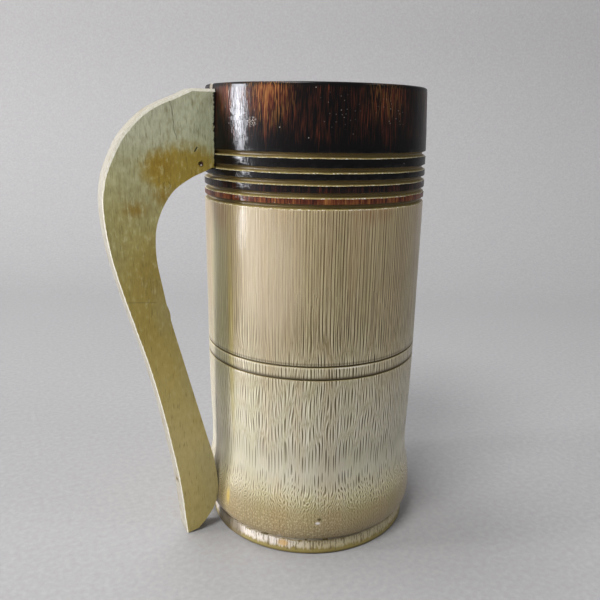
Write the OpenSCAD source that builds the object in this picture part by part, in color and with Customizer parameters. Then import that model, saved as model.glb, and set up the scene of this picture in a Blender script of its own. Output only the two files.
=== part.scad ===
// Bamboo mug: one length of culm, closed below by its own node, turned with a band of grooves
// under the rim, and carrying a sawn plank handle.
// The foot stands on z = 0 and the culm's axis is z. The handle lies along -x.

/* [Cup] */
// Height from the foot to the rim
cup_h = 188.3; // [165:0.1:215]
// Outer radius at the rim
rim_r = 45; // [41:0.1:52]
// Thickness of the wall at the mouth
wall_t = 7.5; // [6.5:0.1:9]
// Extra thickness of the wall just above the floor
wall_swell = 0.8; // [0:0.1:1.5]
// Rounding of the rim's outer edge
rim_round = 0.9; // [0.3:0.1:1.5]
// Width of the bevel inside the mouth
mouth_bevel = 1.6; // [0.5:0.1:3]

/* [Node floor] */
// Height of the floor at the wall, inside the cup
floor_z = 21; // [18:0.1:30]
// Thickness of the natural floor at its middle
floor_t = 5; // [3:0.1:7]
// How far the floor dips from the wall to its middle
floor_dish = 1.8; // [0:0.1:3]
// Radius of the hollow left under the floor
hollow_r = 36; // [30:0.1:38]
// Bevel round the bottom of the foot
foot_bevel = 0.5; // [0.2:0.1:1]

/* [Turned grooves] */
// Height of the plain dark band, from the rim down to the first groove
band_h = 24.1; // [15:0.1:35]
// Height that the group of grooves takes up
grooved_h = 20.4; // [16:0.1:26]
// Width of one groove
groove_w = 2.1; // [1.2:0.1:2.6]
// Depth of one groove
groove_deep = 1.5; // [0.8:0.1:2]
// Height of the upper one of the two fine lines
line_z = 84; // [60:0.1:110]
// Distance between the two fine lines
line_gap = 5.4; // [3:0.1:9]
// Width of a fine line
line_w = 0.9; // [0.5:0.1:1.4]
// Depth of a fine line
line_deep = 0.6; // [0.3:0.1:1]
// Height of the groove that sets off the foot
foot_line_z = 7.9; // [6:0.1:9]
// Width of that groove
foot_line_w = 1.5; // [0.8:0.1:2]
// Depth of that groove
foot_line_deep = 2.3; // [1:0.1:3]

/* [Handle] */
// Thickness of the plank
plank_t = 9.5; // [7:0.1:12]
// Distance from the cup's axis to the plank's outermost point
reach = 88.75; // [80:0.05:100]
// Drop from the rim to the plank's level top
top_drop = 2.2; // [0.5:0.1:15]
// Thickness of the tongue that slides into the cup
tongue_t = 3; // [2:0.1:4]
// How deep the tongue's slot goes into the wall from the rim's outside
slot_deep = 3.8; // [2:0.1:4.5]
// Clearance on each side of the tongue and at the end of its slot
slot_clear = 0.05; // [0.02:0.01:0.15]
// Gap between the plank and the round of the cup
joint_gap = 0.1; // [0.05:0.01:0.3]

/* [Nails] */
// Radius of the upper nail
upper_nail_r = 0.5; // [0.4:0.05:0.7]
// Length of the upper nail
upper_nail_l = 14.5; // [12:0.1:15]
// Radius of the upper nail's head
upper_head_r = 0.65; // [0.6:0.05:0.85]
// Angle at which the upper nail is driven in from the face
toe_angle = 48; // [40:1:52]
// Distance of the upper nail's head from the cup's wall
upper_nail_out = 5.2; // [4:0.1:6]
// Height of the upper nail's head above the plank's underside at the wall
upper_nail_up = 1.5; // [1.2:0.1:5]
// Radius of the lower nail
lower_nail_r = 0.8; // [0.6:0.05:1]
// Length of the lower nail
lower_nail_l = 22.5; // [20:0.1:23.5]
// Radius of the lower nail's head
lower_head_r = 1.2; // [1.1:0.05:1.6]
// Height of the lower nail
lower_nail_z = 24.4; // [23:0.1:27]
// Depth of the lower nail's head below the plank's outer edge
lower_sink = 1.3; // [0.5:0.1:2]
// Thickness of a nail's head
head_t = 0.5; // [0.3:0.1:0.8]
// Depth of the upper nail's head below the plank's face
upper_sink = 0.25; // [0.1:0.05:0.5]
// Clearance round a nail's shank
nail_clear = 0.03; // [0.02:0.01:0.1]
// Clearance round a nail's head
head_clear = 0.25; // [0.1:0.05:0.4]

/* [Hidden] */
$fn = 128;
curve_steps = 4;
overrun = 2;

// The grooves hang from the rim by the dark band, and the plank's top by its drop.
band_z = cup_h - band_h;
handle_top = cup_h - top_drop;

// The culm's outside from the foot to the rim: height as a share of cup_h, radius as a share of rim_r.
wall_shares = [
    [0, 0.984], [0.020, 0.979], [0.036, 0.977], [0.045, 1.009], [0.060, 1.033], [0.079, 1.042],
    [0.100, 1.039], [0.131, 1.024], [0.165, 0.999], [0.200, 0.989], [0.245, 0.992], [0.300, 1.001],
    [0.420, 1.010], [0.560, 1.014], [0.700, 1.020], [0.800, 1.022], [0.880, 1.019], [0.945, 1.010], [1, 1]
];

// Tops of the five grooves, as shares of grooved_h below band_z. They were cut by eye, so the rings differ.
groove_shares = [0, 0.259, 0.468, 0.694, 0.894];

// The plank's sawn outer edge from its tip up to the corner where its top turns level:
// distance from the axis as a share of reach, height as a share of handle_top.
outer_shares = [
    [0.686, 0.0015], [0.699, 0.060], [0.709, 0.110], [0.723, 0.160], [0.743, 0.214], [0.773, 0.291],
    [0.808, 0.369], [0.849, 0.446], [0.894, 0.519], [0.936, 0.590], [0.972, 0.658], [0.994, 0.723],
    [1, 0.770], [0.995, 0.806], [0.978, 0.840], [0.950, 0.871], [0.915, 0.903], [0.863, 0.932],
    [0.808, 0.955], [0.746, 0.972], [0.677, 0.9855], [0.642, 0.993], [0.610, 1]
];

// The plank's inner edge from the cup's wall round the finger gap and down to the corner at the node.
// The saw slipped at just over half its height and left a small bump.
inner_shares = [
    [0.526, 0.844], [0.563, 0.836], [0.603, 0.828], [0.635, 0.820], [0.672, 0.809], [0.702, 0.797],
    [0.728, 0.781], [0.749, 0.764], [0.769, 0.742], [0.782, 0.718], [0.786, 0.685], [0.782, 0.651],
    [0.770, 0.617], [0.756, 0.582], [0.749, 0.563], [0.738, 0.548], [0.733, 0.538], [0.732, 0.528],
    [0.723, 0.509], [0.703, 0.472], [0.682, 0.434], [0.660, 0.393], [0.638, 0.354], [0.615, 0.313],
    [0.593, 0.272], [0.570, 0.230], [0.546, 0.187], [0.531, 0.144], [0.526, 0.122], [0.524, 0.098]
];

// The slanted lower end, from the corner at the node down to the tip.
end_shares = [[0.533, 0.074], [0.551, 0.052], [0.590, 0.026], [0.628, 0.008]];

// A smooth curve through points a, b, c and d, taken at share t between b and c.
function curve_at(a, b, c, d, t) =
    ((2 * b) + (c - a) * t + (2 * a - 5 * b + 4 * c - d) * t * t + (3 * b - a - 3 * c + d) * t * t * t) / 2;

// The same curve run through a whole list of points.
function curve(pts) = [
    for (i = [0 : len(pts) - 2])
        for (k = [0 : curve_steps - 1])
            curve_at(pts[max(i - 1, 0)], pts[i], pts[i + 1], pts[min(i + 2, len(pts) - 1)], k / curve_steps),
    pts[len(pts) - 1]
];

function scaled(shares, across, up) = [for (s = shares) [s[0] * across, s[1] * up]];

// Outside of the culm as [height, radius] pairs, and its radius at height z.
wall_curve = curve(scaled(wall_shares, cup_h, rim_r));
function wall_r(z) = lookup(z, wall_curve);

mouth_r = rim_r - wall_t;
cave_r = mouth_r - wall_swell;
underside_z = floor_z - floor_dish - floor_t;
floor_round = floor_z - underside_z;
slot_end_r = rim_r - slot_deep;

// Where the plank's underside meets the wall, and the slot that starts there.
arm_z = inner_shares[0][1] * handle_top;
slot_z = arm_z - slot_clear;
slot_w = tongue_t + 2 * slot_clear;
wall_at_arm = wall_r(arm_z);

upper_nail_x = -wall_at_arm - upper_nail_out;
upper_nail_z = arm_z + upper_nail_up;

// The outer edge at the lower nail's height, found on the edge's own curve.
outer_curve = curve(scaled(outer_shares, reach, handle_top));
outer_by_height = [for (p = outer_curve) [p[1], p[0]]];
lower_nail_x = lower_sink - lookup(lower_nail_z, outer_by_height);

// Every cut in the outside, from the foot up, as [height of its top edge, width, depth].
cuts = concat(
    [[foot_line_z, foot_line_w, foot_line_deep]],
    [for (k = [1, 0]) [line_z - k * line_gap, line_w, line_deep]],
    [for (i = [len(groove_shares) - 1 : -1 : 0]) [band_z - groove_shares[i] * grooved_h, groove_w, groove_deep]]
);

// One cut's section, a V with a narrow flat bottom that takes up flat_share of its width.
flat_share = 0.25;
function cut_points(c) = [
    [wall_r(c[0] - c[1]), c[0] - c[1]],
    [wall_r(c[0] - c[1]) - c[2], c[0] - c[1] * (1 + flat_share) / 2],
    [wall_r(c[0]) - c[2], c[0] - c[1] * (1 - flat_share) / 2],
    [wall_r(c[0]), c[0]]
];

// The plain wall between two heights.
function plain_points(low, high) = [for (p = wall_curve) if (p[0] > low && p[0] < high) [p[1], p[0]]];

// The whole outside, from the foot's bevel to the rounding of the rim.
outside = [
    for (i = [0 : len(cuts)])
        each concat(
            plain_points(
                i == 0 ? foot_bevel : cuts[i - 1][0],
                i == len(cuts) ? cup_h - rim_round : cuts[i][0] - cuts[i][1]
            ),
            i == len(cuts) ? [] : cut_points(cuts[i])
        )
];

// Half of the cup's section: up the outside, over the rim, down the inside and along the floor.
module cup_section() {
    rim_corner = [for (a = [0 : 30 : 90]) [
        rim_r - rim_round * (1 - cos(a)),
        cup_h - rim_round * (1 - sin(a))
    ]];
    dish = [for (a = [0 : 15 : 90]) [
        cave_r - floor_round * (1 - cos(a)),
        floor_z + floor_round * (1 - sin(a))
    ]];
    polygon(concat(
        [[wall_r(0) - foot_bevel, 0], [wall_r(foot_bevel), foot_bevel]],
        outside,
        rim_corner,
        [[mouth_r + mouth_bevel, cup_h], [mouth_r, cup_h - mouth_bevel]],
        dish,
        [[0, floor_z - floor_dish], [0, underside_z]],
        [[hollow_r - floor_t, underside_z], [hollow_r, underside_z - floor_t], [hollow_r, 0]]
    ));
}

// A nail along +x with its head's top at the origin, made larger by grow, head_grow and cap for its hole.
module nail(r, l, head_r, grow = 0, head_grow = 0, cap = 0) {
    rotate([0, 90, 0]) cylinder(r = r + grow, h = l + grow);
    translate([-cap, 0, 0]) rotate([0, 90, 0]) cylinder(r = head_r + head_grow, h = head_t + cap + grow);
}

// The upper nail goes in slantwise through the near face, the lower one straight in from the outer edge.
module at_upper_nail() {
    translate([upper_nail_x, -plank_t / 2, upper_nail_z])
        rotate([0, 0, toe_angle])
            translate([upper_sink, 0, 0])
                children();
}

module at_lower_nail() {
    translate([lower_nail_x, 0, lower_nail_z]) children();
}

module nail_holes() {
    at_upper_nail() nail(upper_nail_r, upper_nail_l, upper_head_r, nail_clear, head_clear, plank_t);
    at_lower_nail() nail(lower_nail_r, lower_nail_l, lower_head_r, nail_clear, head_clear, plank_t);
}

// The slot for the tongue, open at the rim and at the cup's outside.
module tongue_slot() {
    translate([-wall_at_arm - overrun, -slot_w / 2, slot_z])
        cube([wall_at_arm + overrun - slot_end_r, slot_w, cup_h - slot_z + overrun]);
}

module cup_body() {
    color([0.80, 0.74, 0.55])
        difference() {
            rotate_extrude() cup_section();
            tongue_slot();
            nail_holes();
        }
}

// The plank's outline, drawn with x outwards from the cup's axis and y up.
module plank_outline() {
    inner = curve(scaled(inner_shares, reach, handle_top));
    ending = scaled(end_shares, reach, handle_top);
    in_wall_x = slot_end_r;
    polygon(concat(
        outer_curve,
        [[in_wall_x, handle_top], [in_wall_x, arm_z]],
        inner,
        ending
    ));
}

// The cup's outside with a gap round it, that the plank's edges are scribed to.
module cup_envelope() {
    rotate_extrude()
        polygon(concat(
            [[0, -overrun], [wall_r(0) + joint_gap, -overrun]],
            [for (p = wall_curve) [p[1] + joint_gap, p[0]]],
            [[rim_r + joint_gap, cup_h + overrun], [0, cup_h + overrun]]
        ));
}

// Stands an outline drawn in x and y up on the plank's middle plane, along -x.
module as_plank(t) {
    rotate([90, 0, 180]) linear_extrude(t, center = true) children();
}

module tongue_outline() {
    translate([slot_end_r + slot_clear, arm_z])
        square([wall_at_arm + joint_gap + overrun - slot_end_r - slot_clear, handle_top - arm_z]);
}

module handle() {
    color([0.62, 0.58, 0.40])
        difference() {
            union() {
                difference() {
                    as_plank(plank_t) plank_outline();
                    cup_envelope();
                }
                as_plank(tongue_t) tongue_outline();
            }
            nail_holes();
        }
}

module upper_nail() {
    color([0.55, 0.53, 0.50]) at_upper_nail() nail(upper_nail_r, upper_nail_l, upper_head_r);
}

module lower_nail() {
    color([0.55, 0.53, 0.50]) at_lower_nail() nail(lower_nail_r, lower_nail_l, lower_head_r);
}

cup_body();
handle();
upper_nail();
lower_nail();
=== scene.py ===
# Bamboo mug with a sawn plank handle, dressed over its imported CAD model.
# The file follows the mug as it is made: the turned culm, the plank, the nails, then the studio round it.
import math

import bmesh
import bpy
from mathutils import Matrix, Vector, noise


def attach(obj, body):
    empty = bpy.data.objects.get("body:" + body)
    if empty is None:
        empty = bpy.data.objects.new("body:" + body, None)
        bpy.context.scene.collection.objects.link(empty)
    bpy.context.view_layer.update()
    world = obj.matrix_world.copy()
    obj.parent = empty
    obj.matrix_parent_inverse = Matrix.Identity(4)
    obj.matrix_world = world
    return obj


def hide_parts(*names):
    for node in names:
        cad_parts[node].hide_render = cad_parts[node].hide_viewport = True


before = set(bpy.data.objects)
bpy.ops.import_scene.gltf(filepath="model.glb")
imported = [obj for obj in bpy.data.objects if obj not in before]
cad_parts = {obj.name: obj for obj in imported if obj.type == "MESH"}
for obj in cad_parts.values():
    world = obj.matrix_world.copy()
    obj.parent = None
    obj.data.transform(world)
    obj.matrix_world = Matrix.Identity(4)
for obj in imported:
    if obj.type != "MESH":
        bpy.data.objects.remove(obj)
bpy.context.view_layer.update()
scene = bpy.context.scene
scene.view_settings.view_transform = "Standard"

# CAMERA
# Held a little below the height of the rim and tipped down, with the handle pointing left.
# Its place and its lens were fitted to the photograph's outline of the rim, foot and handle.
camera_turn = math.radians(27.2)
camera_yaw = math.radians(-1.027)
camera_pitch = math.radians(14.97)
camera_roll = math.radians(0.923)
camera_reach = 0.2858
camera_height = 0.1746

camera = bpy.data.cameras.new("camera")
camera.sensor_width = 36
camera.lens = 39.94
camera.clip_start = 0.01
camera_stand = bpy.data.objects.new("camera", camera)
scene.collection.objects.link(camera_stand)
camera_place = (-camera_reach * math.sin(camera_turn), -camera_reach * math.cos(camera_turn), camera_height)
camera_stand.matrix_world = (
    Matrix.Translation(camera_place)
    @ Matrix.Rotation(-camera_turn - camera_yaw, 4, "Z")
    @ Matrix.Rotation(math.pi / 2 - camera_pitch, 4, "X")
    @ Matrix.Rotation(camera_roll, 4, "Z")
)
scene.camera = camera_stand

# TURNED CULM
# One length of thick-walled bamboo, closed by its own node a little above the foot. It was turned on a
# lathe, which cut through its fibre bundles at a slant, so they show as long streaks above and as short
# dashes below. The top was burnt dark and lacquered, and then five grooves were cut through the burnt skin.
cup_h = 188.3
rim_r = 45.0
mouth_r = 37.5
cave_r = 36.7
rim_round = 0.9
mouth_bevel = 1.6
floor_z = 21.0
floor_dish = 1.8
underside_z = 14.2
floor_round = 6.8
hollow_r = 36.0
hollow_step = 5.0
foot_bevel = 0.5
wall_shares = (
    (0, 0.984), (0.020, 0.979), (0.036, 0.977), (0.045, 1.009), (0.060, 1.033), (0.079, 1.042),
    (0.100, 1.039), (0.131, 1.024), (0.165, 0.999), (0.200, 0.989), (0.245, 0.992), (0.300, 1.001),
    (0.420, 1.010), (0.560, 1.014), (0.700, 1.020), (0.800, 1.022), (0.880, 1.019), (0.945, 1.010), (1, 1),
)
band_low = 164.2
grooved_h = 20.4
groove_tops = [band_low - share * grooved_h for share in (0.894, 0.694, 0.468, 0.259, 0)]
groove_w = 2.1
groove_deep = 1.5
ring_low = groove_tops[0]
scored_w = 0.9
scored_deep = 0.6
# Every cut from the foot up: the height of its top, its width and its depth.
cuts = [(7.9, 1.5, 2.3)]
cuts += [(top, scored_w, scored_deep) for top in (78.6, 84.0)]
cuts += [(top, groove_w, groove_deep) for top in groove_tops]
row_step = 1.2
turns = 256
mm = 0.001


def spline(points, steps):
    """A smooth curve through the points, with so many steps from each to the next."""
    places = []
    for i in range(len(points) - 1):
        a, b, c, d = (Vector(points[min(max(i + k, 0), len(points) - 1)]) for k in (-1, 0, 1, 2))
        bend = 2 * a - 5 * b + 4 * c - d
        twist = 3 * (b - c) + d - a
        for k in range(steps):
            t = k / steps
            places.append((2 * b + (c - a) * t + bend * t**2 + twist * t**3) / 2)
    return places + [Vector(points[-1])]


wall_curve = spline([(z * cup_h, r * rim_r) for z, r in wall_shares], 12)


def wall_r(z):
    """Outer radius of the culm at height z, before any groove is cut."""
    for low, high in zip(wall_curve, wall_curve[1:]):
        if z <= high.x:
            return low.y + (high.y - low.y) * (z - low.x) / (high.x - low.x)
    return wall_curve[-1].y


def rows(low, high):
    """Places up the plain wall between two heights, both ends left out."""
    count = max(int((high - low) / row_step), 1)
    heights = [low + (high - low) * k / count for k in range(1, count)]
    return [(wall_r(z), z) for z in heights]


# Half of the culm's section, from the middle of its underside round to the middle of its floor.
section = [(0, underside_z)] + [(r, underside_z) for r in range(4, 30, 4)]
section += [(hollow_r - hollow_step, underside_z), (hollow_r, underside_z - hollow_step)]
section += [(hollow_r, z) for z in (7, 5, 3, 1)]
section += [(hollow_r + 0.3, 0), (38, 0), (40, 0), (42, 0)]
section += [(wall_r(0) - foot_bevel, 0), (wall_r(foot_bevel), foot_bevel)]
# Each cut has a row close above and below it, which keeps its corners out of the wall's shading.
below = foot_bevel
for top, width, deep in cuts:
    low = top - width
    low_r = wall_r(low)
    top_r = wall_r(top)
    section += rows(below, low)
    below = top + 0.15
    section += [(low_r, low - 0.12), (low_r - 0.05, low), (low_r - 0.35 * deep, top - width * 0.87)]
    section += [(top_r - deep, top - width * 0.62), (top_r - deep, top - width * 0.38)]
    section += [(top_r - 0.35 * deep, top - width * 0.13), (top_r, top), (top_r, below)]
section += rows(below, cup_h - rim_round)
for step in range(0, 91, 15):
    corner = math.radians(step)
    r = rim_r - rim_round * (1 - math.cos(corner))
    section.append((r, cup_h - rim_round * (1 - math.sin(corner))))
inside_top = cup_h - mouth_bevel - 0.3
section += [(43, cup_h), (41.5, cup_h), (40.2, cup_h), (mouth_r + mouth_bevel + 0.25, cup_h)]
section += [(mouth_r + mouth_bevel - 0.15, cup_h - 0.12)]
section += [(mouth_r + mouth_bevel / 2, cup_h - mouth_bevel / 2)]
section += [(mouth_r + 0.12, cup_h - mouth_bevel + 0.15), (mouth_r, inside_top)]
inside_low = floor_z + floor_round
inside_rows = 34
for k in range(1, inside_rows + 1):
    share = k / inside_rows
    section.append((mouth_r + (cave_r - mouth_r) * share, inside_top + (inside_low - inside_top) * share))
for step in range(10, 91, 10):
    corner = math.radians(step)
    r = cave_r - floor_round * (1 - math.cos(corner))
    section.append((r, inside_low - floor_round * math.sin(corner)))
floor_r = cave_r - floor_round
for r in (26, 22, 18, 14, 10, 7, 4, 0):
    section.append((r, floor_z - floor_dish * (1 - (r / floor_r) ** 2)))

culm = bmesh.new()
corners = [culm.verts.new((r * mm, 0, z * mm)) for r, z in section]
edges = [culm.edges.new(pair) for pair in zip(corners, corners[1:])]
bmesh.ops.spin(
    culm, geom=corners + edges, cent=(0, 0, 0), axis=(0, 0, 1), angle=math.tau, steps=turns,
    use_merge=True,
)
bmesh.ops.remove_doubles(culm, verts=culm.verts, dist=1e-6)
bmesh.ops.recalc_face_normals(culm, faces=culm.faces)

# Turned by hand, so the wall wanders a little and the cuts have ragged edges. Each cut's corners carry
# a number named lip, from 1 at the lower edge of the cut to -1 at its upper edge.
lip = culm.verts.layers.float.new("lip")
for vert in culm.verts:
    x, y, z = (value / mm for value in vert.co)
    r = math.hypot(x, y)
    if r <= rim_r - 4 or z <= 0.01:
        continue
    ease = noise.noise(Vector((x / 24, y / 24, z / 45))) - 0.6
    push = Vector((x, y, 0)).normalized() * 0.10 * ease
    for top, width, deep in cuts:
        if top - width - 0.05 < z < top + 0.01:
            vert[lip] = 1 - 2 * (z - top + width) / width
            ragged = noise.noise(Vector((x / 1.3, y / 1.3, top)))
            if deep == groove_deep:
                push += Vector((x / r, y / r, 0)) * min(0, ragged - 0.1) * 0.35 * abs(vert[lip])
                push.z += 0.12 * noise.noise(Vector((x / 6, y / 6, top + 9))) + 0.10 * ragged * vert[lip]
            elif deep > groove_deep:
                push.z += 0.25 * noise.noise(Vector((x / 4, y / 4, 5))) + 0.15 * ragged
            else:
                push.z += 0.05 * noise.noise(Vector((x / 5, y / 5, top + 9))) + 0.07 * ragged
    vert.co += push * mm

bare_skin, burnt_skin, groove_skin, inner_skin, node_skin, foot_skin, line_skin, slot_skin = range(8)
for face in culm.faces:
    middle = face.calc_center_median() / mm
    r = math.hypot(middle.x, middle.y)
    z = middle.z
    face.smooth = True
    if z < underside_z + 0.5 and (r < hollow_r + 0.2 or z < 0.1):
        face.material_index = foot_skin
    elif r < cave_r - 0.2 and z < inside_low:
        face.material_index = node_skin
    elif r < mouth_r + 0.05:
        face.material_index = inner_skin
    elif any(top - groove_w < z < top for top in groove_tops):
        face.material_index = groove_skin
    elif any(top - width < z < top for top, width, deep in cuts):
        face.material_index = line_skin
    elif z > ring_low:
        face.material_index = burnt_skin
    else:
        face.material_index = bare_skin


def shown(name, shape, finishes, sharp=35):
    """Makes an object in the scene of a finished bmesh, with its materials and its sharp edges."""
    mesh = bpy.data.meshes.new(name)
    plane_faces = [not face.smooth for face in shape.faces]
    shape.to_mesh(mesh)
    shape.free()
    for finish in finishes:
        mesh.materials.append(finish)
    mesh.set_sharp_from_angle(angle=math.radians(sharp))
    for face, plane in zip(mesh.polygons, plane_faces):
        face.use_smooth = not plane
    piece = bpy.data.objects.new(name, mesh)
    scene.collection.objects.link(piece)
    return piece


def paint(red, green, blue):
    """A colour as picked on a screen, 0 to 255 each, made linear for a shader."""
    shares = [level / 255 for level in (red, green, blue)]
    return (*(s / 12.92 if s <= 0.04045 else ((s + 0.055) / 1.055) ** 2.4 for s in shares), 1.0)


class Finish:
    """One finish, built up node by node. Lengths are in mm, measured in the object's own coordinates."""

    def __init__(self, name, **settings):
        self.material = bpy.data.materials.new(name)
        self.material.use_nodes = True
        self.nodes = self.material.node_tree.nodes
        self.links = self.material.node_tree.links
        self.shader = self.nodes["Principled BSDF"]
        for socket, value in settings.items():
            self.shader.inputs[socket.replace("_", " ")].default_value = value
        place = self.add("TexCoord", {}, "Object")
        self.place = self.add("VectorMath", {0: place, "Scale": 1 / mm}, operation="SCALE")
        self.x, self.y, self.z = self.split(self.place)

    def add(self, kind, inputs, output=0, **settings):
        """Adds a node, with a link or a plain value at each input, and gives one of its outputs."""
        node = self.nodes.new("ShaderNode" + kind)
        for key, value in settings.items():
            setattr(node, key, value)
        for socket, value in inputs.items():
            if isinstance(value, bpy.types.NodeSocket):
                self.links.new(value, node.inputs[socket])
            else:
                node.inputs[socket].default_value = value
        return node.outputs[output]

    def split(self, vector):
        """The three parts of a vector."""
        node = self.nodes.new("ShaderNodeSeparateXYZ")
        self.links.new(vector, node.inputs[0])
        return node.outputs

    def join(self, *parts):
        """A vector of up to three parts."""
        return self.add("CombineXYZ", dict(enumerate(parts)))

    def vector(self, operation, first, second=(0, 0, 0), output="Vector"):
        """One step of arithmetic on vectors."""
        return self.add("VectorMath", {0: first, 1: second}, output, operation=operation)

    def math(self, operation, first, second=0.0):
        """One step of arithmetic on numbers."""
        return self.add("Math", {0: first, 1: second}, operation=operation)

    def plus(self, *values):
        total = values[0]
        for value in values[1:]:
            total = self.math("ADD", total, value)
        return total

    def times(self, *values):
        total = values[0]
        for value in values[1:]:
            total = self.math("MULTIPLY", total, value)
        return total

    def fade(self, value, low, high, start=0.0, end=1.0):
        """Goes softly from start to end while the value goes from low to high."""
        sockets = {"Value": value, "From Min": low, "From Max": high, "To Min": start, "To Max": end}
        return self.add("MapRange", sockets, interpolation_type="SMOOTHSTEP")

    def mix(self, share, first, second, blend="MIX"):
        """The first colour, with a share of the second laid over it."""
        return self.add("Mix", {0: share, 6: first, 7: second}, 2, data_type="RGBA", blend_type=blend)

    def ramp(self, value, *stops):
        """A colour for a value from 0 to 1, from stops of a value and a colour."""
        node = self.nodes.new("ShaderNodeValToRGB")
        self.links.new(value, node.inputs[0])
        elements = node.color_ramp.elements
        elements.remove(elements[1])
        elements[0].position = stops[0][0]
        elements[0].color = stops[0][1]
        for place, colour in stops[1:]:
            elements.new(place).color = colour
        return node.outputs[0]

    def up(self, *stops, at=None):
        """A colour that changes with height, from stops of a height in mm and a colour."""
        share = self.math("DIVIDE", self.z if at is None else at, cup_h)
        return self.ramp(share, *((z / cup_h, colour) for z, colour in stops))

    def level(self, *stops, at=None):
        """A number that changes with height, from stops of a height in mm and a number from 0 to 1."""
        return self.up(*((z, (amount, amount, amount, 1)) for z, amount in stops), at=at)

    def grain(self, across, along, detail=2.0, rough=0.5, shift=0.0):
        """Noise drawn out up the culm. Across and along are the size of its marks."""
        place = self.vector("MULTIPLY", self.place, (1 / across, 1 / across, 1 / along))
        moved = self.vector("ADD", place, (shift, shift, shift))
        return self.add("TexNoise", {"Vector": moved, "Scale": 1.0, "Detail": detail, "Roughness": rough})

    def stray(self, by, across, along, detail=1.0, rough=0.5, shift=0.0):
        """The same noise about nought, times an amount."""
        return self.times(self.plus(self.grain(across, along, detail, rough, shift), -0.5), by)

    def around(self, count):
        """The way round the culm, in parts of which so many make one turn."""
        return self.times(self.math("ARCTAN2", self.y, self.x), count / math.tau)

    def chances(self, *cell):
        """Three chances from 0 to 1, the same all over one cell."""
        return self.split(self.add("TexWhiteNoise", {"Vector": self.join(*cell)}, "Color"))

    def spot(self, centre, size, soft=0.5):
        """One inside an ellipsoid round a point and nothing outside it, with a soft edge."""
        away = self.vector("SUBTRACT", self.place, centre)
        scaled = self.vector("MULTIPLY", away, tuple(1 / length for length in size))
        return self.fade(self.vector("LENGTH", scaled, output="Value"), 1.0, 1.0 - soft)

    def scratch(self, start, end, width):
        """One along a straight line between two points and nothing beside it."""
        run = Vector(end) - Vector(start)
        away = self.vector("SUBTRACT", self.place, start)
        onto = self.vector("DOT_PRODUCT", away, tuple(run / run.length_squared), "Value")
        share = self.add("Clamp", {0: onto})
        along = self.add("VectorMath", {0: tuple(run), "Scale": share}, operation="SCALE")
        return self.fade(self.vector("DISTANCE", away, along, "Value"), width, width * 0.3)

    def bump(self, height, depth):
        """The tilt of a surface with a relief of so many mm."""
        sockets = {"Strength": 1.0, "Distance": depth * mm, "Height": height}
        return self.add("Bump", sockets, "Normal")

    def give(self, **results):
        """Links results to the shader's inputs of those names."""
        for socket, value in results.items():
            self.links.new(value, self.shader.inputs[socket.replace("_", " ")])


# How long a bundle shows at each height: the length in mm of wall that one layer of bundles takes up.
layer_lengths = (
    (0, 15), (6.4, 15), (7.9, 3.0), (10, 2.2), (20, 2.0), (24, 2.3), (29, 3.0), (32, 8), (36, 16), (44, 17),
    (48, 12), (56, 11), (70, 11.5), (80, 13), (92, 16), (102, 24), (115, 45), (188, 60),
)
layer_counts = [(0, 0.0)]
for (low, first), (high, last) in zip(layer_lengths, layer_lengths[1:]):
    layer_counts.append((high, layer_counts[-1][1] + (high - low) / ((first + last) / 2)))
layer_total = layer_counts[-1][1]


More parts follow.
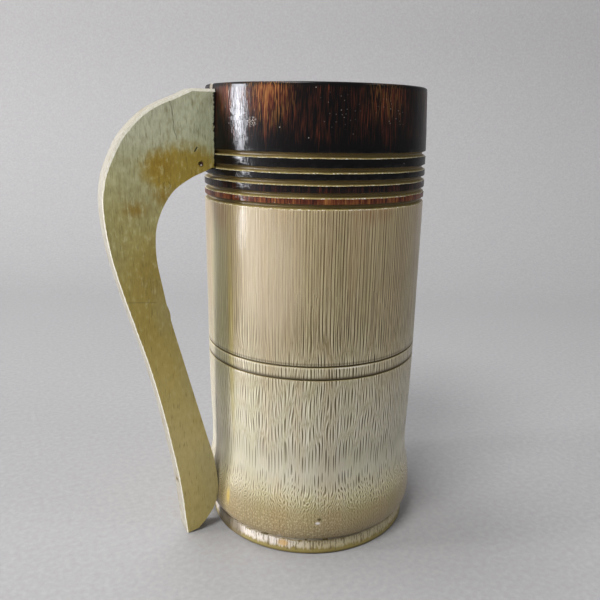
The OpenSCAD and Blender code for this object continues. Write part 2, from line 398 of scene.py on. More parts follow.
def bundles(finish, columns, core, seed):
    """Fibre bundles cut through at a slant: masks of their dark cores and of the pale sheaths beside them."""
    sway = finish.stray(0.8, 7, 70, shift=seed)
    spacing = finish.stray(0.7, 1.6, 55, shift=seed + 3)
    around = finish.plus(finish.around(columns), sway, spacing)
    column = finish.math("FLOOR", around)
    luck = finish.add("TexWhiteNoise", {"Vector": finish.join(column, float(seed), 0.0)}, "Value")
    zigzag = finish.times(finish.math("PINGPONG", finish.plus(column, finish.times(luck, 1.5)), 4.0), 1.5)
    waves = finish.stray(12.0, 6, 50, shift=seed + 7)
    place = finish.plus(finish.z, zigzag, waves, finish.times(luck, 4.5), -5.0)
    counts = finish.level(*((z, count / layer_total) for z, count in layer_counts), at=place)
    depth = finish.plus(finish.times(counts, layer_total), 0.13 * seed)
    row = finish.math("FLOOR", depth)
    along = finish.plus(finish.math("SUBTRACT", depth, row), -0.5)
    chances = finish.chances(column, row, float(seed))
    either_way = finish.plus(chances[0], -0.5)
    # How sharply the bundles end, lean and cross each other depends on the height.
    ends = finish.level((0, 0.1), (6.4, 0.1), (8, 1), (94, 1), (110, 0.1))
    leaning = finish.level((0, 0), (7, 1), (29, 1), (32, 0.2), (45, 0.2), (52, 0.9), (94, 1), (108, 0.05))
    lean = finish.times(along, finish.stray(4.0, 5, 16, shift=seed + 9), leaning)
    crossing = finish.level((7, 0), (19, 0.35), (29, 0.35), (32, 0))
    cross = finish.times(along, finish.math("SIGN", either_way), crossing)
    aside = finish.times(either_way, 0.3)
    across = finish.plus(finish.math("SUBTRACT", around, column), -0.5, aside, lean, cross)
    # The dark core is lens-shaped, with its lower end fainter.
    half_long = finish.plus(finish.times(chances[1], 0.4), 0.8)
    share = finish.math("DIVIDE", finish.times(along, 1 / 0.38), half_long)
    taper = finish.plus(finish.times(share, ends, -0.3), 1.0)
    thin = finish.level((0, 1), (30, 1), (33, 0.8), (45, 0.8), (51, 1))
    sideways = finish.math("DIVIDE", finish.times(across, 1 / core), finish.times(taper, thin))
    tips = finish.times(finish.math("POWER", finish.math("ABSOLUTE", share), 3.0), ends)
    dark = finish.fade(finish.plus(finish.times(sideways, sideways), tips), 1.0, 0.35)
    dark = finish.times(dark, finish.plus(1.0, finish.times(ends, finish.fade(share, 0.5, -1.1), -0.6)))
    # The pale sheath runs along both its sides and is longer.
    reach = finish.math("ABSOLUTE", finish.times(along, 2.0))
    long_tips = finish.times(finish.math("POWER", reach, 2.0), ends)
    side = finish.plus(0.35, finish.times(long_tips, -0.15))
    edge = finish.math("ABSOLUTE", finish.math("SUBTRACT", finish.math("ABSOLUTE", across), side))
    pale = finish.times(finish.fade(edge, 0.17, 0.04), finish.plus(1.0, finish.times(long_tips, -0.65)))
    # High up and on the foot ring the bundles come and go.
    breath = finish.fade(finish.grain(1.1, 8, 1.0, 0.5, seed + 5), 0.3, 0.6, 0.3, 1.0)
    breath = finish.math("MAXIMUM", breath, finish.level((0, 0), (6, 0), (10, 1), (90, 1), (102, 0)))
    strength = finish.times(finish.plus(finish.times(chances[2], 0.35), 0.65), breath)
    return finish.times(dark, strength), finish.times(pale, breath)


# Bare turned skin: pale ground, dark bundle cores with cream sheaths, and a thin clear lacquer.
bare = Finish(
    "bare_culm", Specular_IOR_Level=0.4, Coat_Roughness=0.1, Sheen_Weight=0.25, Sheen_Roughness=0.35,
)
bare.shader.inputs["Sheen Tint"].default_value = paint(236, 229, 234)
dark, pale = bundles(bare, 205, 0.23, 1)
dark2, pale2 = bundles(bare, 262, 0.28, 8)
ragged_z = bare.plus(bare.z, bare.stray(4.0, 1.1, 4, 2.0, 0.6, 61.0))
# The ground colour up the culm. Its lowest millimetre is painted dark as the foot's contact shadow.
ground = bare.up(
    (0, paint(40, 32, 16)), (0.6, paint(70, 58, 28)), (1.0, paint(150, 136, 76)), (8, paint(128, 108, 62)),
    (9.6, paint(140, 120, 80)), (11, paint(146, 128, 92)), (19, paint(146, 130, 90)),
    (22.5, paint(150, 138, 96)), (27, paint(170, 160, 122)), (32, paint(192, 184, 158)),
    (37, paint(194, 188, 166)), (50, paint(172, 163, 137)), (70, paint(160, 149, 120)),
    (84, paint(148, 135, 102)), (94, paint(132, 117, 80)), (112, paint(156, 141, 105)),
    (150, paint(170, 152, 116)), (162, paint(160, 136, 88)),
)
cream = bare.up(
    (0, paint(150, 136, 76)), (6, paint(180, 170, 130)), (9, paint(176, 162, 124)),
    (20, paint(186, 172, 134)), (25, paint(216, 207, 176)), (31, paint(224, 218, 198)),
    (36, paint(230, 227, 214)), (70, paint(222, 216, 193)), (95, paint(204, 191, 157)),
    (120, paint(204, 189, 150)), (150, paint(206, 188, 148)),
)
brown = bare.up(
    (0, paint(92, 72, 30)), (12, paint(112, 94, 60)), (24, paint(106, 93, 56)), (36, paint(68, 58, 28)),
    (60, paint(78, 67, 36)), (95, paint(72, 59, 30)), (120, paint(92, 73, 40)), (150, paint(102, 80, 46)),
)
fine = bare.fade(bare.grain(0.45, 22, 2.0, 0.6, 3.0), 0.3, 0.7)
broad = bare.grain(9, 60, 2.0, 0.5, 11.0)
# Painted glare: round the highlight on the lit left the ground is painted paler and the bundles fainter,
painted_glare_side = bare.times(bare.spot((-33, -31, 120), (19, 19, 50), 0.7), 0.78)
# and the bundles' contrast is painted stronger towards the right, away from the light.
contrast_out_of_glare = bare.times(bare.plus(1.0, bare.times(painted_glare_side, -1.0)), bare.fade(bare.x, -38, -8, 0.8, 1.15))
ground = bare.mix(bare.times(painted_glare_side, 0.6), ground, paint(204, 188, 164))
pale_amount = bare.level(
    (0, 0), (6.4, 0), (7, 0.2), (22, 0.5), (33, 0.15), (46, 0.2), (90, 0.4), (110, 0.8),
)
dark_amount = bare.level(
    (0, 0), (6.4, 0), (7, 0.4), (20, 0.45), (22, 0.6), (30, 0.25), (60, 0.2), (86, 0.4), (100, 0.9),
    (150, 0.85),
)
colour = bare.mix(bare.times(pale2, contrast_out_of_glare, pale_amount), ground, cream)
colour = bare.mix(bare.times(fine, bare.level((0, 0.15), (40, 0.15), (95, 0.3), (150, 0.3))), colour, brown)
colour = bare.mix(bare.times(dark2, contrast_out_of_glare, dark_amount), colour, brown)
pale_amount = bare.level(
    (0, 0), (6.4, 0), (7, 0.35), (18, 0.5), (23, 0.95), (29, 0.9), (32, 0.35), (45, 0.4), (52, 0.95),
    (96, 0.95), (112, 0.35),
)
dark_amount = bare.level(
    (0, 0), (6.4, 0), (7, 0.25), (20, 0.3), (24, 0.9), (32, 1), (52, 1), (94, 1), (112, 0.4), (150, 0.35),
)
colour = bare.mix(bare.times(pale, contrast_out_of_glare, pale_amount), colour, cream)
colour = bare.mix(bare.times(dark, contrast_out_of_glare, dark_amount), colour, brown)
# Pale specks on the swelling, stronger to the left.
unrolled = bare.join(bare.around(math.tau * rim_r), bare.times(bare.z, 0.85))
speck_sockets = {"Vector": unrolled, "Scale": 0.8, "Randomness": 0.65}
specks = bare.add("TexVoronoi", speck_sockets, "Distance", voronoi_dimensions="2D")
specks = bare.times(bare.fade(specks, 0.42, 0.12), bare.level((7.5, 0), (9, 0.7), (18, 0.8), (22, 0)))
patches = bare.fade(bare.grain(1.5, 1.5, 1.0, 0.5, 67.0), 0.35, 0.6, 0.3, 1.0)
specks = bare.times(specks, bare.fade(bare.x, 4, -16, 0.08, 1.0), patches)
colour = bare.mix(specks, colour, paint(190, 174, 134))
# The foot ring is paler, painted lighter still on its lit left side, with a short dark bar for each bundle.
foot_pale = bare.level((0, 0), (2.2, 0), (3.4, 1), (6.4, 1), (6.6, 0), at=ragged_z)
pale_ring_painted_lit_left = bare.mix(bare.fade(bare.x, -34, -14), paint(228, 218, 210), paint(194, 182, 148))
colour = bare.mix(bare.times(foot_pale, bare.level((6.4, 0.9), (6.5, 0))), colour, pale_ring_painted_lit_left)
around = bare.around(230)
column = bare.math("FLOOR", around)
chances = bare.chances(column, 0.0, 5.0)
across = bare.plus(bare.math("SUBTRACT", around, column), -0.5, bare.stray(1.2, 1, 2, shift=63.0))
above_end = bare.math("SUBTRACT", bare.z, bare.plus(5.6, bare.times(chances[0], -4.2)))
bars = bare.fade(bare.math("ABSOLUTE", across), bare.fade(chances[2], 0, 1, 0.2, 0.42), 0.06)
bars = bare.times(bars, bare.fade(chances[1], 0.0, 0.3))
bars = bare.times(bars, bare.fade(above_end, -0.7, 0.3), bare.level((6.4, 1), (6.5, 0)))
colour = bare.mix(bare.times(bars, 0.75), colour, paint(106, 92, 58))
# Painted shade and painted reflection of the plank, green and yellow, up the left, and a browner tint
# under the burnt band.
painted_plank_shade_green = bare.times(bare.spot((-45, -6.5, 105), (6, 9, 70), 0.6), 0.35)
colour = bare.mix(painted_plank_shade_green, colour, paint(134, 136, 84))
painted_plank_reflection = bare.times(bare.spot((-42.8, -14, 96), (3, 2.2, 66), 0.7), 0.45)
colour = bare.mix(painted_plank_reflection, colour, paint(168, 154, 78))
brown_top = bare.plus(
    bare.spot((-44.5, -7.5, 141), (6, 9, 12), 0.9),
    bare.spot((2, -45.5, 143), (13, 5, 7), 0.9),
)
colour = bare.mix(bare.times(brown_top, fine, 0.8), colour, paint(132, 88, 46))
# The scored lines are painted darker just above them; below them a pale band is painted as
# their lit lower lip, with a painted glint at the front.
beside_lines = bare.level(
    (77.2, 0), (77.3, 0), (78.5, 0), (78.55, 0.95), (79.0, 0.8), (79.6, 0), (82.7, 0), (83.9, 0),
    (83.95, 0.95), (84.4, 0.8), (85.0, 0),
)
colour = bare.mix(beside_lines, colour, paint(72, 59, 28))
below_lines = bare.level(
    (77.25, 0), (77.4, 0.8), (77.7, 0.9), (77.75, 0), (82.65, 0), (82.8, 0.8), (83.1, 0.9), (83.15, 0),
)
broken = bare.fade(bare.grain(0.6, 0.6, 1.0, 0.5, 71.0), 0.35, 0.6, 0.4, 1.0)
colour = bare.mix(bare.times(below_lines, broken), colour, cream)
lit_lip = bare.times(below_lines, bare.spot((-6, -46.5, 80.5), (13, 6, 6), 0.6))
colour = bare.mix(lit_lip, colour, paint(250, 246, 240))
tint = bare.ramp(
    broad, (0.38, paint(254, 250, 245)), (0.5, paint(255, 255, 255)), (0.62, paint(252, 253, 247)),
)
colour = bare.mix(1.0, colour, tint, "MULTIPLY")
# Near the foot: painted shade over the lit lower left, an orange patch, painted shadow of the plank on
# the foot, a streaked place, and a chip.
painted_shade_low_left = bare.spot((-42, -18, 26), (24, 28, 24), 1.0)
colour = bare.mix(painted_shade_low_left, colour, paint(226, 222, 212), "MULTIPLY")
orange_patch = bare.spot((-28.4, -33.6, 4.4), (3, 3, 2), 0.6)
colour = bare.mix(bare.times(orange_patch, 0.7), colour, paint(190, 146, 60))
# Painted shadow of the plank over the left of the foot ring and swelling.
shaded_foot = bare.spot((-44, -9, 3), (10, 13, 8), 0.5)
colour = bare.mix(bare.times(shaded_foot, 0.85), colour, paint(98, 84, 54))
ochre_streak = bare.spot((-45, -12.8, 19.4), (1.6, 1.8, 6), 0.8)
colour = bare.mix(bare.times(ochre_streak, 0.65), colour, paint(190, 160, 62))
chip = bare.spot((-16.7, -43.7, 18.0), (0.9, 0.9, 0.8), 0.5)
chip_edge = bare.spot((-17.4, -43.4, 16.4), (1.4, 1.4, 0.8), 0.7)
colour = bare.mix(chip_edge, colour, paint(222, 214, 210))
colour = bare.mix(chip, colour, paint(84, 72, 26))
rough = bare.level((0, 0.5), (20, 0.42), (30, 0.52), (90, 0.5), (130, 0.45), (160, 0.42))
height = bare.plus(
    bare.times(dark, -0.6),
    bare.times(fine, 0.25),
    bare.times(bare.grain(0.8, 3, 2.0, 0.5, 30.0), 0.4),
    bare.times(bars, -1.0),
    bare.times(chip, -3.0),
)
film = bare.bump(bare.plus(bare.grain(0.5, 1.1, 2.0, 0.6, 44.0), bare.times(dark, -0.2)), 0.05)
gloss = bare.level(
    (0, 0), (7, 0), (10, 0.1), (20, 0.2), (34, 0.1), (100, 0.1), (118, 0.19), (134, 0.33), (160, 0.42),
)
bare.give(
    Base_Color=colour, Roughness=rough, Normal=bare.bump(height, 0.05), Coat_Weight=gloss, Coat_Normal=film,
)

# Burnt skin: brown to black by how deep the flame went, under a thick glossy lacquer.
burnt = Finish(
    "burnt_lacquer", Specular_IOR_Level=0.05, Roughness=0.5, Coat_Weight=0.3, Coat_Roughness=0.05,
)
streak = burnt.plus(
    burnt.times(burnt.grain(0.42, 9, 2.0, 0.6, 5.0), 0.65),
    burnt.times(burnt.grain(1.3, 26, 2.0, 0.5, 15.0), 0.35),
)
blotch = burnt.grain(7, 22, 3.0, 0.55, 21.0)
gold_patch = burnt.spot((-34, -29, 185), (15, 13, 17), 0.9)
left_patch = burnt.spot((-43.5, -12, 184), (6, 6, 12), 0.7)
right_patch = burnt.spot((6, -44.5, 184), (13, 8, 14), 0.9)
far_patch = burnt.spot((33, -30, 180), (7, 7, 16), 0.9)
char = burnt.plus(
    0.88,
    burnt.times(burnt.fade(blotch, 0.45, 0.75), -0.18),
    burnt.times(burnt.plus(streak, -0.5), 2.0),
    burnt.times(gold_patch, -0.42),
    burnt.times(left_patch, -0.3),
    burnt.times(right_patch, -0.2),
    burnt.times(far_patch, -0.2),
    burnt.times(burnt.level((146, 0.46), (148.2, 0.38), (149.5, 0.06), (152.5, 0), (153.5, 0)), -1.0),
    burnt.level((152, 0), (154.5, 0.35), (158, 0.45), (165, 0.35), (170, 0.05), (186.6, 0), (187.8, 0.5)),
)
burnt_colour = burnt.ramp(
    char, (0.0, paint(162, 112, 60)), (0.2, paint(130, 84, 46)), (0.38, paint(104, 53, 31)),
    (0.56, paint(67, 30, 21)), (0.75, paint(37, 20, 14)), (0.95, paint(12, 9, 10)),
)
glow = burnt.plus(gold_patch, burnt.times(right_patch, 0.5), burnt.times(left_patch, 0.4))
gold_lines = burnt.times(burnt.fade(burnt.grain(0.3, 7, 1.0, 0.5, 90.0), 0.52, 0.66), glow)
burnt_colour = burnt.mix(burnt.times(gold_lines, 0.65), burnt_colour, paint(170, 118, 62))
# Burst bubbles and dust in the lacquer, and one flake of it gone.
bubbles = burnt.add("TexVoronoi", {"Vector": burnt.place, "Scale": 0.28}, "Distance")
bubble_luck = burnt.add("TexVoronoi", {"Vector": burnt.place, "Scale": 0.28}, "Color")
bubbles = burnt.times(burnt.fade(bubbles, 0.07, 0.04), burnt.fade(bubble_luck, 0.5, 0.55))
dust = burnt.add("TexVoronoi", {"Vector": burnt.place, "Scale": 0.6}, "Distance")
dust_area = burnt.plus(
    burnt.spot((-13.8, -43.2, 179), (12, 6, 8), 0.9),
    burnt.spot((8, -44, 178), (10, 6, 9), 0.9),
)
bubbles = burnt.plus(bubbles, burnt.times(burnt.fade(dust, 0.16, 0.08), burnt.times(dust_area, 0.8)))
flake = burnt.spot((-38.3, -24.7, 174.5), (2.6, 2.6, 2.2), 0.5)
flake = burnt.times(flake, burnt.fade(burnt.grain(0.6, 0.6, 1.0, 0.5, 35.0), 0.5, 0.6))
bubbles = burnt.math("MAXIMUM", bubbles, flake)
burnt_colour = burnt.mix(burnt.times(bubbles, 0.6), burnt_colour, paint(176, 168, 160))
relief = burnt.plus(
    burnt.times(burnt.grain(0.4, 3, 2.0, 0.6, 50.0), 1.0),
    burnt.times(burnt.grain(1.2, 5, 2.0, 0.6, 55.0), 0.9),
    burnt.times(burnt.grain(4, 12, 1.0, 0.5, 70.0), 1.4),
    burnt.times(bubbles, 1.0),
)
film = burnt.bump(relief, 0.055)
burnt.give(Base_Color=burnt_colour, Normal=film, Coat_Normal=film)

# Raw wood in the grooves: olive, painted darker towards the upper edge as shade and cream on
# the lower lip as highlight, with small raised beads along the lip painted as glints.
raw = Finish("groove_cut", Roughness=0.5, Coat_Weight=0.2, Coat_Roughness=0.15)
side = raw.add("Attribute", {}, "Fac", attribute_name="lip")
side = raw.plus(side, raw.stray(0.7, 0.8, 3, 2.0, 0.6))
raw_shade_to_glint = raw.ramp(
    raw.plus(raw.times(side, 0.5), 0.5), (0.0, paint(50, 38, 20)), (0.25, paint(104, 86, 42)),
    (0.68, paint(120, 102, 52)), (0.88, paint(134, 118, 68)), (0.99, paint(188, 176, 128)),
)
glint_beads = raw.times(raw.fade(raw.grain(0.7, 0.7, 1.0, 0.5, 12.0), 0.54, 0.64), raw.fade(side, 0.75, 0.95))
raw_shade_to_glint = raw.mix(glint_beads, raw_shade_to_glint, paint(244, 240, 232))
raw.give(Base_Color=raw_shade_to_glint, Normal=raw.bump(raw.plus(raw.grain(0.7, 1.5, 2.0, 0.6), glint_beads), 0.08))

# Scored lines: the same cut, but narrow, painted dark brown inside as the cut's shade,
# and paler on the lower lip.
scored = Finish("scored_line", Roughness=0.45, Coat_Weight=0.2, Coat_Roughness=0.15)
side = scored.add("Attribute", {}, "Fac", attribute_name="lip")
side = scored.plus(side, scored.stray(0.6, 0.8, 3, 2.0, 0.6))
scored_colour = scored.ramp(
    scored.plus(scored.times(side, 0.5), 0.5), (0.0, paint(66, 54, 24)), (0.75, paint(86, 72, 35)),
    (0.95, paint(132, 118, 72)),
)
scored_colour = scored.mix(scored.level((6.9, 0.9), (7.3, 0)), scored_colour, paint(214, 202, 178))
scored.give(Base_Color=scored_colour, Normal=scored.bump(scored.grain(0.7, 1.5, 2.0, 0.6), 0.05))

# Inner wall: bored out, so its bundles show as straight brown lines on pale wood, stained by drink below.
inner = Finish("inner_wall", Roughness=0.55)
lines = inner.fade(inner.grain(0.7, 60, 3.0, 0.6, 8.0), 0.45, 0.7)
wash = inner.grain(12, 40, 2.0, 0.5, 14.0)
inner_colour = inner.mix(lines, paint(222, 202, 152), paint(176, 142, 88))
inner_colour = inner.mix(inner.fade(wash, 0.4, 0.7, 0, 0.5), inner_colour, paint(196, 166, 108))
inner_colour = inner.mix(inner.level((25, 0.5), (60, 0.15), (90, 0)), inner_colour, paint(140, 104, 62))
inner.give(Base_Color=inner_colour, Normal=inner.bump(lines, 0.06))

# Node floor: the culm's own cross wall, with a thin papery skin.
node = Finish("node_floor", Roughness=0.6)
mottle = node.grain(5, 5, 4.0, 0.6, 2.0)
node_colour = node.ramp(
    mottle, (0.3, paint(150, 112, 66)), (0.5, paint(196, 164, 110)), (0.7, paint(222, 198, 148)),
)
node.give(Base_Color=node_colour, Normal=node.bump(mottle, 0.5))

# Foot and hollow: sawn across the grain, so the bundles show as close brown dots.
foot = Finish("foot_end_grain", Roughness=0.7)
tubes = foot.add("TexVoronoi", {"Vector": foot.place, "Scale": 0.9}, "Distance")
dots = foot.fade(tubes, 0.35, 0.2)
foot_colour = foot.mix(foot.times(dots, 0.8), paint(200, 178, 122), paint(110, 80, 44))
foot_colour = foot.mix(foot.fade(foot.grain(6, 6, 2.0), 0.4, 0.7, 0, 0.5), foot_colour, paint(160, 130, 84))
foot.give(Base_Color=foot_colour, Normal=foot.bump(dots, 0.1))

# Walls of the tongue's slot: fresh saw cuts along the grain, nearly white.
fresh_cut = Finish("slot_cut", Roughness=0.6)
fibres = fresh_cut.grain(0.6, 9, 3.0, 0.6, 18.0)
fresh_colour = fresh_cut.ramp(fibres, (0.3, paint(214, 204, 186)), (0.7, paint(242, 238, 230)))
fresh_cut.give(Base_Color=fresh_colour, Normal=fresh_cut.bump(fibres, 0.05))

skins = [finish.material for finish in (bare, burnt, raw, inner, node, foot, scored, fresh_cut)]
cup = shown("turned_culm", culm, skins)

# The tongue's slot, sawn down the wall from the rim behind the plank.
slot_wide = 3.1
slot_deep = 8.0
slot_from = 41.2
slot_low = 157.0
slot_top = cup_h + 2
slot_middle = (-(slot_from + slot_deep / 2) * mm, 0, (slot_top + slot_low) / 2 * mm)
blade = bmesh.new()
bmesh.ops.create_cube(blade, size=1)
slot_size = (slot_deep * mm, slot_wide * mm, (slot_top - slot_low) * mm)
bmesh.ops.scale(blade, vec=slot_size, verts=blade.verts)
bmesh.ops.translate(blade, vec=slot_middle, verts=blade.verts)
cutter = shown("slot_cutter", blade, skins)
for face in cutter.data.polygons:
    face.material_index = slot_skin
cutting = cup.modifiers.new("slot", "BOOLEAN")
cutting.operation = "DIFFERENCE"
cutting.object = cutter
cut_mesh = bpy.data.meshes.new_from_object(cup.evaluated_get(bpy.context.evaluated_depsgraph_get()))
cup.modifiers.clear()
cup.data = cut_mesh
bpy.data.objects.remove(cutter)
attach(cup, "root")
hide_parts("cup_body")

# PLANK HANDLE
# Sawn by hand from one plank and left flat on both faces. Its upper end has a tongue in the culm's slot.
# The outer and top edges were eased with a rasp; the eased arris is painted paler than the stained
# faces, partly as painted light.
plank = bmesh.new()
plank.from_mesh(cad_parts["handle"].data)
bmesh.ops.remove_doubles(plank, verts=plank.verts, dist=1e-6)
bmesh.ops.dissolve_limit(plank, angle_limit=math.radians(0.6), verts=plank.verts, edges=plank.edges)
half_plank = 4.75
ease_wide = 1.0
ease_narrow = 0.35
ease_step = 1.4
stained, sawn, eased = range(3)
for face in plank.faces:
    face.material_index = stained if abs(face.normal.y) > 0.9 else sawn


def edges_to_ease(longest=0.0):
    """The arrises of the outer and top edges, all of them or only those over a length in mm."""
    chosen = []
    for edge in plank.edges:
        sides = [f for f in edge.link_faces if abs(f.normal.y) > 0.9]
        rims = [f for f in edge.link_faces if abs(f.normal.y) < 0.2]
        middle = (edge.verts[0].co + edge.verts[1].co) / 2
        if len(sides) == 1 and len(rims) == 1 and abs(abs(middle.y) - half_plank * mm) < 1e-5:
            outward = rims[0].normal
            if (outward.x < -0.05 or outward.z > 0.5) and edge.calc_length() > longest * mm:
                chosen.append(edge)
    return chosen


while edges_to_ease(ease_step):
    bmesh.ops.subdivide_edges(plank, edges=edges_to_ease(ease_step), cuts=1)
bmesh.ops.bevel(
    plank, geom=edges_to_ease(), offset=ease_narrow * mm, offset_type="OFFSET", segments=1, profile=0.5,
    affect="EDGES", material=eased, clamp_overlap=False,
)
# The rasp went wider towards the top and left small nicks.
for corner in plank.verts:
    slopes = [face.normal for face in corner.link_faces if face.material_index == eased]
    if slopes and abs(abs(corner.co.y) - half_plank * mm) < 1e-5:
        inward = -sum(slopes, Vector())
        inward.y = 0
        widen = min(max((corner.co.z / mm - 145) / 20, 0), 1) * (ease_wide - ease_narrow)
        nick = max(noise.noise(corner.co / mm * 0.9), 0) * 0.35
        corner.co += inward.normalized() * (widen + nick) * mm

# The mouth of the upper nail's hole took the stain too.
hole_mouth = Vector((-51.1, -4.2, 157.8))
for face in plank.faces:
    if (face.calc_center_median() / mm - hole_mouth).length < 2.5:
        face.material_index = stained

# Stained faces: greenish grey wood with ochre stains round the joint, worn patches and a few scratches.
wood = Finish("stained_plank", Roughness=0.5, Specular_IOR_Level=0.4)
thread = wood.grain(0.45, 5, 3.0, 0.65, 4.0)
vessel = wood.fade(wood.grain(0.4, 4.5, 1.0, 0.5, 24.0), 0.62, 0.74)
mottle = wood.grain(1.6, 3.6, 3.0, 0.6, 31.0)
cloud = wood.grain(9, 13, 3.0, 0.6, 9.0)
drift = wood.grain(22, 40, 1.0, 0.5, 17.0)
wood_colour = wood.up(
    (0, paint(182, 164, 98)), (40, paint(188, 171, 112)), (75, paint(175, 156, 88)),
    (95, paint(162, 142, 68)), (120, paint(166, 150, 79)), (140, paint(173, 163, 102)),
    (160, paint(192, 190, 146)), (168, paint(212, 214, 184)), (186, paint(216, 217, 194)),
)
wood_colour = wood.mix(wood.fade(drift, 0.4, 0.65, 0, 0.35), wood_colour, paint(150, 148, 112))
near_joint = wood.times(wood.fade(wood.x, -72, -48), wood.level((130, 0), (155, 1)))
wood_colour = wood.mix(near_joint, wood_colour, paint(222, 224, 212), "MULTIPLY")
stain = wood.plus(
    wood.spot((-58, -5, 157), (25, 14, 14), 0.95),
    wood.times(cloud, 1.3),
    wood.times(mottle, 0.6),
    -1.0,
)
wood_colour = wood.mix(wood.times(wood.fade(stain, 0.05, 0.75), 0.92), wood_colour, paint(166, 141, 44))
stain_core = wood.plus(
    wood.spot((-67, -5, 158), (9, 8, 8), 1.0),
    wood.spot((-66, -5, 147), (6, 8, 6), 1.0),
    wood.spot((-77, -5, 142), (8, 8, 5), 1.0),
)
stain_core = wood.times(stain_core, wood.fade(mottle, 0.25, 0.6), 0.85)
wood_colour = wood.mix(stain_core, wood_colour, paint(150, 118, 26))
low_stain = wood.plus(wood.spot((-72, -5, 118), (14, 14, 26), 1.0), wood.times(cloud, 1.0), -0.6)
wood_colour = wood.mix(wood.times(wood.fade(low_stain, 0.1, 0.8), 0.5), wood_colour, paint(146, 124, 52))
rough_part = wood.level((0, 0.35), (70, 0.35), (95, 0.6), (125, 1.0))
for mark, shade in (
    (wood.fade(mottle, 0.42, 0.7, 0, 0.32), paint(118, 98, 46)),
    (wood.fade(mottle, 0.48, 0.28, 0, 0.35), paint(214, 208, 166)),
    (wood.fade(thread, 0.5, 0.72, 0, 0.45), paint(120, 106, 60)),
):
    wood_colour = wood.mix(wood.times(rough_part, mark), wood_colour, shade)
wood_colour = wood.mix(wood.times(vessel, 0.42), wood_colour, paint(84, 74, 40))
# A crack that wanders down from the top edge, and a straight scratch across.
near_y = -half_plank
wander = wood.join(wood.stray(1.3, 3, 3, shift=81.0))
wood_place = wood.place
wood.place = wood.vector("ADD", wood_place, wander)
crack = wood.scratch((-62.4, near_y, 182.4), (-60.3, near_y, 167.5), 0.2)
wood.place = wood_place
cross = wood.scratch((-81.6, near_y, 106.7), (-70.5, near_y, 105.7), 0.4)
scratches = wood.plus(wood.times(crack, 0.75), wood.times(cross, 0.5))
wood_colour = wood.mix(wood.times(scratches, 0.6), wood_colour, paint(84, 78, 44))
# A faint ring, a slit painted near-black as the shade inside it, and rust round the upper nail.
ring = wood.vector("DISTANCE", wood_place, (-64.6, near_y, 150.8), "Value")
ring = wood.fade(wood.math("ABSOLUTE", wood.plus(ring, -1.35)), 0.28, 0.1)
wood_colour = wood.mix(wood.times(ring, wood.fade(thread, 0.4, 0.55), 0.6), wood_colour, paint(92, 78, 30))
slit = wood.scratch((-53.4, near_y, 163.3), (-52.5, near_y, 164.7), 0.32)
nail_head = (-51.1, near_y, 157.8)
rusted = wood.spot(nail_head, (0.9, 3.0, 0.9), 0.4)
wood_colour = wood.mix(wood.times(rusted, 0.45), wood_colour, paint(70, 46, 28))
wood_colour = wood.mix(slit, wood_colour, paint(16, 20, 10))
# Dirt where the plank meets the burnt band.
from_axis = wood.vector("LENGTH", wood.join(wood.x, wood.y), output="Value")
soiled = wood.fade(wood.plus(from_axis, wood.times(wood.grain(0.8, 1.6, 2.0, 0.6, 40.0), -2.2)), 45.1, 44.7)
soiled = wood.times(soiled, wood.level((148, 0), (150, 1)))
wood_colour = wood.mix(soiled, wood_colour, paint(22, 18, 14))
dents = wood.plus(
    wood.times(thread, -0.5),
    wood.times(vessel, -0.7),
    wood.times(crack, -1.5),
    wood.times(slit, -4.0),
    wood.times(mottle, 0.4),
)
wood.give(Base_Color=wood_colour, Normal=wood.bump(dents, 0.09))

# Sawn edge: grey-cream wood with the saw's marks and some grime.
cream_wood = Finish("sawn_edge", Roughness=0.6, Specular_IOR_Level=0.3)
saw = cream_wood.grain(1.2, 2.5, 3.0, 0.6, 6.0)
edge_colour = cream_wood.ramp(
    saw, (0.3, paint(142, 134, 116)), (0.5, paint(156, 151, 138)), (0.7, paint(166, 162, 152)),
)
grime = cream_wood.fade(cream_wood.grain(6, 9, 2.0, 0.6, 13.0), 0.5, 0.75, 0, 0.5)
edge_colour = cream_wood.mix(grime, edge_colour, paint(136, 118, 84))
cream_wood.give(Base_Color=edge_colour, Normal=cream_wood.bump(saw, 0.12))

# Rasped arris: fresh fibres, painted paler than the sawn edge beside them, partly as painted light
# so the arris shows as bright as the lit edge.
arris = Finish("rasped_arris_painted_lit", Roughness=0.6, Specular_IOR_Level=0.3)
rasped = arris.grain(0.8, 1.6, 3.0, 0.6, 16.0)
fresh = arris.ramp(
    rasped, (0.3, paint(212, 206, 184)), (0.5, paint(226, 221, 203)), (0.7, paint(235, 232, 219)),
)
arris.give(Base_Color=fresh, Normal=arris.bump(rasped, 0.1))

for face in plank.faces:
    face.smooth = abs(face.normal.y) < 0.9
handle = shown("plank_handle", plank, [wood.material, cream_wood.material, arris.material], 30)
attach(handle, "root")
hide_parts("handle")

# NAILS
# Two round wire nails hold the plank: a small one driven in slantwise from the near face at the top,
# and a larger one straight in from the outer edge at the node, sunk a little.
steel = Finish("dull_steel", Metallic=0.7, Roughness=0.5)
rust = steel.grain(0.35, 0.35, 3.0, 0.6)
steel_colour = steel.ramp(
    rust, (0.35, paint(34, 22, 18)), (0.5, paint(92, 48, 34)), (0.62, paint(74, 62, 56)),
    (0.75, paint(120, 112, 104)),
)
# A painted glint on the upper nail's head.
painted_glint = steel.spot(nail_head, (0.62, 2.0, 0.62), 0.4)
steel_colour = steel.mix(painted_glint, steel_colour, paint(250, 240, 232))
steel.give(Base_Color=steel_colour, Normal=steel.bump(rust, 0.05))
for name in ("upper_nail", "lower_nail"):
    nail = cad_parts[name]
    nail.data.materials.clear()
    nail.data.materials.append(steel.material)
    softened = nail.modifiers.new("softened", "BEVEL")
    softened.width = 0.1 * mm
    softened.segments = 2

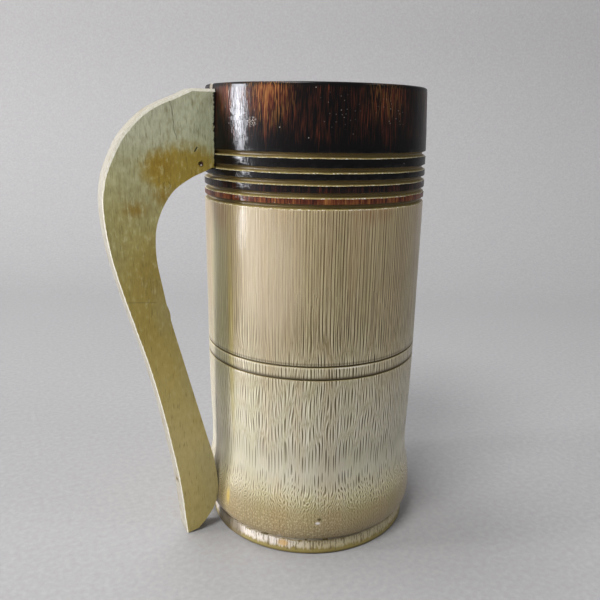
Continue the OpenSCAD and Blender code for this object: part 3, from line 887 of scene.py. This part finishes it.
# STUDIO
# A pale floor that sweeps up behind the mug, a window-like light from the left and behind,
# and soft fill from above and from the right.
sweep = bmesh.new()
sweep_near = -2.0
sweep_flat = 0.36
sweep_bend = 0.30
sweep_top = 2.0
sweep_wide = 5.0
outline = [(sweep_near, 0.0), (0.0, 0.0), (sweep_flat, 0.0)]
for step in range(6, 91, 6):
    corner = math.radians(step)
    away = sweep_flat + sweep_bend * math.sin(corner)
    outline.append((away, sweep_bend * (1 - math.cos(corner))))
outline.append((sweep_flat + sweep_bend, sweep_top))
back_way = Vector((math.sin(camera_turn), math.cos(camera_turn), 0))
side_way = Vector((math.cos(camera_turn), -math.sin(camera_turn), 0))
edge_points = []
for away, up in outline:
    place = back_way * away - side_way * (sweep_wide / 2) + Vector((0, 0, up))
    edge_points.append(sweep.verts.new(place))
edge_lines = [sweep.edges.new(pair) for pair in zip(edge_points, edge_points[1:])]
pulled = bmesh.ops.extrude_edge_only(sweep, edges=edge_lines)
far_edge = [part for part in pulled["geom"] if isinstance(part, bmesh.types.BMVert)]
bmesh.ops.translate(sweep, vec=side_way * sweep_wide, verts=far_edge)
bmesh.ops.recalc_face_normals(sweep, faces=sweep.faces)
for face in sweep.faces:
    face.smooth = True
paper = Finish("pale_floor", Roughness=0.7, Specular_IOR_Level=0.15)
fleck = paper.grain(2.5, 2.5, 3.0, 0.6)
paper_colour = paper.ramp(fleck, (0.3, paint(158, 156, 156)), (0.7, paint(168, 167, 167)))
paper.give(Base_Color=paper_colour)
floor = shown("floor", sweep, [paper.material], 80)

world = bpy.data.worlds.new("room")
world.use_nodes = True
world.node_tree.nodes["Background"].inputs["Color"].default_value = paint(200, 202, 206)
world.node_tree.nodes["Background"].inputs["Strength"].default_value = 0.42
scene.world = world


def light(name, azimuth, elevation, away, wide, tall, watts, colour=(1, 1, 1), matte=True, gloss=True):
    """A soft rectangular light that faces the mug, seen by matte surfaces, by glossy ones or by both."""
    lamp = bpy.data.lights.new(name, "AREA")
    lamp.shape = "RECTANGLE"
    lamp.size = wide
    lamp.size_y = tall
    lamp.energy = watts
    lamp.color = colour
    stand = bpy.data.objects.new(name, lamp)
    scene.collection.objects.link(stand)
    turn, lift = math.radians(azimuth), math.radians(elevation)
    way = Vector((math.cos(turn) * math.cos(lift), math.sin(turn) * math.cos(lift), math.sin(lift)))
    stand.location = Vector((0, 0, 0.1)) + way * away
    stand.rotation_euler = way.to_track_quat("Z", "Y").to_euler()
    stand.visible_camera = False
    stand.visible_diffuse = matte
    stand.visible_glossy = gloss


light("window", 164, 6, 2.4, 0.4, 0.5, 54, (1.0, 0.99, 0.99), gloss=False)
light("window_glint", 160, 8, 2.38, 0.28, 0.84, 104, (0.92, 0.93, 1.0), matte=False)
light("window_foot", 161, -5.4, 0.7, 0.16, 0.075, 3.0, (0.96, 0.97, 1.0), matte=False)
light("window_low", 161, -12.6, 0.32, 0.06, 0.055, 0.15, (0.96, 0.97, 1.0), matte=False)
light("room", -147, 56, 1.5, 0.55, 0.55, 16)
light("overhead", 128, 72, 1.4, 0.5, 0.5, 8.5, (0.93, 0.96, 1.0))
light("right_fill", -44, 41, 1.3, 0.3, 0.15, 2)
